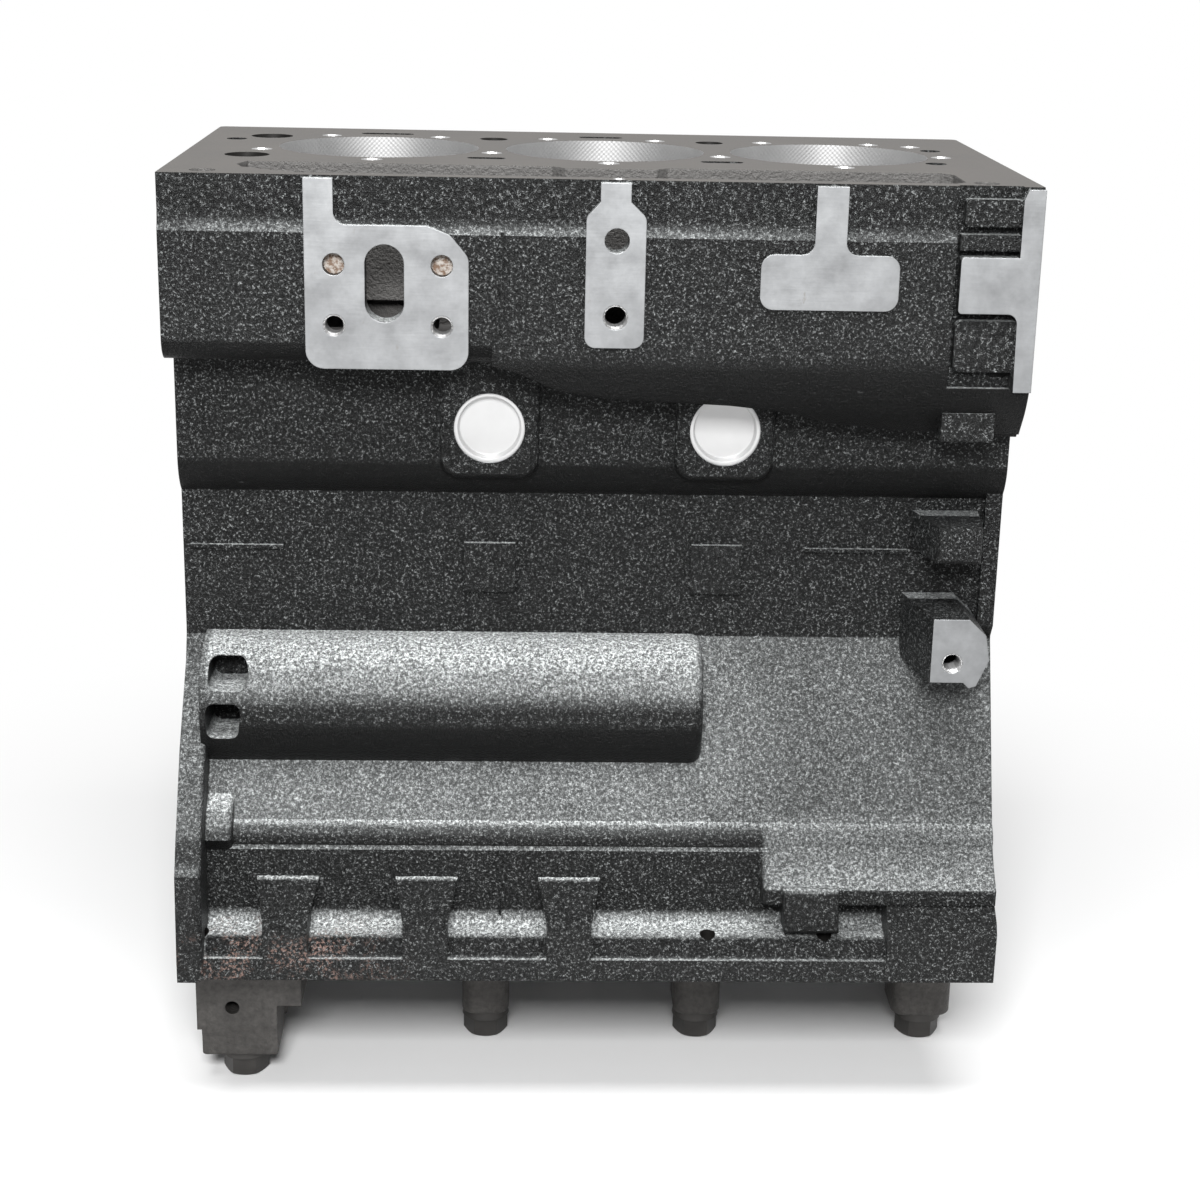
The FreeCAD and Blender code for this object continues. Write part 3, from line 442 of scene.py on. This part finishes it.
SLOTS = {name: slot for slot, name in enumerate(FINISHES)}
BLOCK.data.materials.clear()
for finish in FINISHES.values():
    BLOCK.data.materials.append(finish.material)
holes = []
for patch in patches_of(BLOCK.data):
    hole = round_wall(patch, BLOCK.data)
    if hole:
        holes.append(hole)
    for face in patch:
        face.material_index = SLOTS[finish_in(hole, face)]
# The drill points at the feet of the narrow holes take the same near-black finish, a painted shade at the bottom
# of each hole, except where silt lies.
for face in BLOCK.data.polygons:
    for hole in holes:
        if hole.ends_at(face) and hole.radius < DRILLED and finish_of(face) != "silt":
            face.material_index = SLOTS["drilled"]

# The tapped holes: each one drilled, countersunk at its mouth and cut with a coarse right-hand thread, so that
# bright turns of metal show inside. Deep holes are threaded only as far as can be seen.
cut_iron = Finish("freshly_cut_iron")
cut_iron.wear(
    Base_Color=cut_iron.blend(cut_iron.noise(300, 3), grey(0.3), grey(0.62)),
    Metallic=0.9,
    Roughness=0.3 + 0.12 * cut_iron.noise(120),
    Normal=cut_iron.bump(cut_iron.noise(900), 0.00005, 0.4),
)
THREAD_PITCH, THREAD_DEEP, THREAD_START, THREAD_SHOWN = 0.0015, 0.0006, 0.002, 0.012
WIDEST_TAPPED, SHORTEST_TAPPED = 0.0055, 0.009
STEPS = 18


def point_in(hole, step, radius, depth):
    """A point at a depth below the mouth of a hole, some steps round its axis."""
    turned = 2 * math.pi * step / STEPS
    point = hole.centre.copy()
    point[(hole.axis + 1) % 3] += radius * math.cos(turned)
    point[(hole.axis + 2) % 3] += radius * math.sin(turned)
    point[hole.axis] = hole.mouth + math.copysign(depth, hole.foot - hole.mouth)
    return point


def strip(shape, rows):
    """Skins rows of points, each row joined to the next."""
    rows = [[shape.verts.new(p) for p in row] for row in rows]
    for one, other in zip(rows, rows[1:]):
        for k in range(len(one) - 1):
            shape.faces.new((one[k], one[k + 1], other[k + 1], other[k]))


shape = bmesh.new()
for hole in holes:
    if hole.radius > WIDEST_TAPPED or hole.depth < SHORTEST_TAPPED:
        continue
    minor = hole.radius - THREAD_DEEP
    strip(shape, [
        [point_in(hole, step, hole.radius, 0.00002), point_in(hole, step, minor, 1.3 * THREAD_DEEP),
         point_in(hole, step, hole.radius, 2.6 * THREAD_DEEP)]
        for step in range(STEPS + 1)
    ])
    turns = (min(hole.depth, THREAD_SHOWN) - THREAD_START) / THREAD_PITCH
    strip(shape, [
        [point_in(hole, step, hole.radius, THREAD_START + THREAD_PITCH * (step / STEPS - 0.4)),
         point_in(hole, step, minor, THREAD_START + THREAD_PITCH * step / STEPS),
         point_in(hole, step, hole.radius, THREAD_START + THREAD_PITCH * (step / STEPS + 0.4))]
        for step in range(int(turns * STEPS))
    ])
mesh = bpy.data.meshes.new("threads")
shape.to_mesh(mesh)
shape.free()
mesh.materials.append(cut_iron.material)
threads = bpy.data.objects.new("threads", mesh)
bpy.context.collection.objects.link(threads)
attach(threads, "root")

# The main bearing caps: four cast iron bridges under the crankshaft line, left bare. Their joint faces are milled,
# and each is bolted up into its register in the block and bored in line with it.
cap_iron = Finish("bare_cap_iron")
grains = cap_iron.noise(420, 3, 0.6)
stain = cap_iron.noise(40, 4, 0.65)
cap_iron.wear(
    Base_Color=cap_iron.blend(stain * grains, grey(0.012, 0.06), grey(0.16, 0.06)),
    Metallic=0.5,
    Roughness=0.5 + 0.2 * grains,
    Normal=cap_iron.bump(grains, 0.0009, 0.8, cap_iron.soft_edges(0.001)),
)
cap_iron.cover("main_bearing_cap")

# The bearing bolts: ten hexagon bolts of forged steel, blackened by heat treatment and oiled. They pass up through
# the caps into tapped holes in the webs.
bolt_steel = Finish("blackened_bolt_steel")
smudge = bolt_steel.noise(90, 3, 0.6)
bolt_steel.wear(
    Base_Color=bolt_steel.blend(smudge, grey(0.016, 0.04), grey(0.06, 0.06)),
    Metallic=0.6,
    Roughness=0.36 + 0.16 * smudge,
    Normal=bolt_steel.bump(bolt_steel.noise(700), 0.0002, 0.4, bolt_steel.soft_edges(0.0006)),
)
bolt_steel.cover("bearing_")

# The plugs of the core holes, the camshaft line and the oil gallery: cups pressed from zinc-plated sheet steel and
# driven into their bored seats with sealant.
zinc = Finish("zinc_plated_sheet")
bloom = zinc.noise(60, 3, 0.6)
zinc.wear(
    Base_Color=zinc.blend(bloom, grey(0.5), grey(0.6)),
    Metallic=0.35,
    Roughness=0.34 + 0.1 * bloom,
    Normal=zinc.bump(zinc.noise(500), 0.0001, 0.3, zinc.soft_edges(0.0008)),
)
zinc.cover("core_plug", "camshaft_plug", "oil_gallery_plug")

# The camshaft bush: a strip of bearing metal rolled round and pressed into the web at the timing end, then reamed.
# It is the one part of the block that isn't iron or steel.
bush = Finish("bearing_metal")
bush.wear(
    Base_Color=bush.blend(bush.noise(80), (0.42, 0.33, 0.22, 1), (0.56, 0.46, 0.34, 1)),
    Metallic=1.0,
    Roughness=0.3 + 0.1 * bush.noise(120),
    Normal=bush.bump(bush.noise(600), 0.00005, 0.3),
)
bush.cover("camshaft_bush")

# The bench: a plain floor of white board, with the block standing on it on its bolt heads. It glows white away
# from the block, so that only the shadow close to the block is left on it.
REST = CAD_BOX[0][2]
SIDE, FRONT, BACK = 20, -8, 40
floor_mesh = bpy.data.meshes.new("floor")
corners = [(-SIDE, FRONT, REST), (SIDE, FRONT, REST), (SIDE, BACK, REST), (-SIDE, BACK, REST)]
floor_mesh.from_pydata(corners, [], [(0, 1, 2, 3)])
floor = bpy.data.objects.new("floor", floor_mesh)
bpy.context.collection.objects.link(floor)
white = Finish("white_floor")
white.wear(Base_Color=(0.85, 0.85, 0.85, 1), Roughness=0.8, Specular_IOR_Level=0.1)
board = Socket(white, white.shader.outputs[0])
glow = white.node("ShaderNodeEmission", {}, {"Color": (1, 1, 1, 1), "Strength": 1.0})
reach = white.node("ShaderNodeVectorMath", {"operation": "LENGTH"}, {0: white.place}, "Value")
near_and_far = white.node("ShaderNodeMixShader", {}, {0: reach.above(0.4, 0.18), 1: board, 2: glow})
white.plug(white.tree.nodes["Material Output"].inputs["Surface"], near_and_far)
floor_mesh.materials.append(white.material)

# The room: white walls that give little light of their own, so that metal shows white and shade stays dark.
# Two soft lamps hang in it, one over the camera and one high in front that rakes down over the sloping walls.
ROOM_LIGHT = 0.15
room = Finish("white_room", bpy.data.worlds, "Background")
bpy.context.scene.world = room.material
by_camera, by_gloss, by_glass = (
    room.node("ShaderNodeLightPath", {}, {}, ray)
    for ray in ("Is Camera Ray", "Is Glossy Ray", "Is Transmission Ray")
)
shown = (by_camera + by_gloss + by_glass).math("MINIMUM", 1.0)
room.wear(Color=(1, 1, 1, 1), Strength=ROOM_LIGHT + (1 - ROOM_LIGHT) * shown)


def lamp(name, place, target, size, power):
    light = bpy.data.lights.new(name, "AREA")
    light.shape = "RECTANGLE"
    light.size, light.size_y = size
    light.energy = power
    holder = bpy.data.objects.new(name, light)
    holder.location = place
    holder.rotation_euler = (Vector(target) - Vector(place)).to_track_quat("-Z", "Y").to_euler()
    bpy.context.collection.objects.link(holder)


lamp("lamp_over_the_camera", (-0.1, -1.35, 0.93), (0, -0.1, 0.15), (0.45, 0.35), 28)
lamp("lamp_high_front", (0.0, -0.62, 1.55), (0, -0.08, 0.1), (1.2, 0.5), 28)

# The camera: a stand in front of the tappet side, a little above the head face and looking down at the block,
# with a long lens so that the sides stay nearly upright.
STAND, LENS, FILM = (-0.0354, -0.9876, 0.4349), 65.525, 36
YAW, DOWN, ROLL = (math.radians(a) for a in (2.182, 17.396, 1.257))
forward = Vector((math.sin(YAW) * math.cos(DOWN), math.cos(YAW) * math.cos(DOWN), -math.sin(DOWN)))
level_right = Vector((math.cos(YAW), -math.sin(YAW), 0))
level_up = level_right.cross(forward)
right = level_right * math.cos(ROLL) + level_up * math.sin(ROLL)
up = level_up * math.cos(ROLL) - level_right * math.sin(ROLL)
camera = bpy.data.objects.new("camera", bpy.data.cameras.new("camera"))
bpy.context.collection.objects.link(camera)
camera.data.sensor_width, camera.data.lens = FILM, LENS
turn = Matrix((right, up, -forward)).transposed().to_4x4()
camera.matrix_world = Matrix.Translation(STAND) @ turn
camera.data.clip_start, camera.data.clip_end = 0.01, 100
bpy.context.scene.camera = camera
bpy.context.scene.view_settings.view_transform = "Standard"
